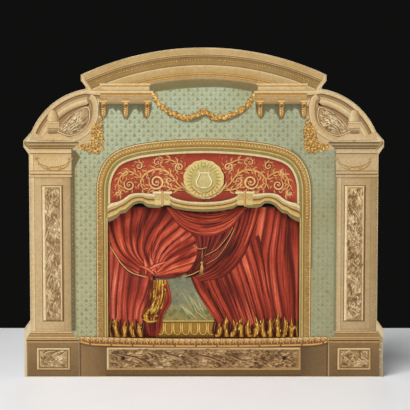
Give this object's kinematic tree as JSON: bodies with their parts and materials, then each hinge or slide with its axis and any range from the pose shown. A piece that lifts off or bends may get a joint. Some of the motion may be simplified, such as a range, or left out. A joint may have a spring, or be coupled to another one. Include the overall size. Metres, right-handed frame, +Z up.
{
  "type": "toy puppet theatre",
  "caption": "Table-top toy theatre: a printed die-cut card front on a low wooden stage box, with a curtain card that slides up in grooved posts and two folding card wings.",
  "frame": {"origin": "on the table, under the middle of the whole object", "axes": "+X to the right seen from the front, +Y to the back, +Z up"},
  "size_m": [0.492, 0.2, 0.4495],
  "materials": {
    "printed_card": "satin",
    "gilt_card": "satin",
    "curtain_print": "satin",
    "wing_card": "matte",
    "tape_cloth": "matte",
    "pine": "matte",
    "floor_pine": "matte",
    "lath_pine": "matte",
    "dark_steel": "satin"
  },
  "bodies": {
    "root": {"facade_board": "printed_card", "footlight_strip": "gilt_card", "left_upright": "pine", "right_upright": "pine", "left_front_bead": "pine", "left_rear_bead": "pine", "right_front_bead": "pine", "right_rear_bead": "pine", "head_batten": "pine", "front_rail": "pine", "rear_rail": "pine", "left_side_rail": "pine", "right_side_rail": "pine", "left_corner_block": "pine", "right_corner_block": "pine", "stage_board_1": "floor_pine", "stage_board_2": "floor_pine", "stage_board_3": "floor_pine", "stage_board_4": "floor_pine", "left_wing_tape": "tape_cloth", "right_wing_tape": "tape_cloth", "left_facade_nail": "dark_steel", "right_facade_nail": "dark_steel", "left_rear_nail_1": "dark_steel", "left_rear_nail_2": "dark_steel", "left_post_nail_1": "dark_steel", "left_post_nail_2": "dark_steel", "right_rear_nail_1": "dark_steel", "right_rear_nail_2": "dark_steel", "right_post_nail_1": "dark_steel", "right_post_nail_2": "dark_steel", "left_batten_brad": "dark_steel", "right_batten_brad": "dark_steel", "left_board_brad_1": "dark_steel", "left_board_brad_2": "dark_steel", "left_board_brad_3": "dark_steel", "left_board_brad_4": "dark_steel", "right_board_brad_1": "dark_steel", "right_board_brad_2": "dark_steel", "right_board_brad_3": "dark_steel", "right_board_brad_4": "dark_steel"},
    "curtain": {"curtain_card": "curtain_print", "curtain_top_lath": "lath_pine", "curtain_bottom_lath": "lath_pine"},
    "left_wing": {"left_wing": "wing_card"},
    "right_wing": {"right_wing": "wing_card"}
  },
  "joints": [
    {"name": "curtain_lift", "type": "slide", "parent": "root", "child": "curtain", "axis": [0, 0, 1], "range_m": [0, 0.187]},
    {"name": "left_wing_fold", "type": "hinge", "parent": "root", "child": "left_wing", "pos_m": [-0.1545, -0.0801, 0], "axis": [0, 0, -1], "range_deg": [0, 90], "deforming": ["left_wing_tape"]},
    {"name": "right_wing_fold", "type": "hinge", "parent": "root", "child": "right_wing", "pos_m": [0.1545, -0.0801, 0], "axis": [0, 0, 1], "range_deg": [0, 90], "deforming": ["right_wing_tape"]}
  ]
}
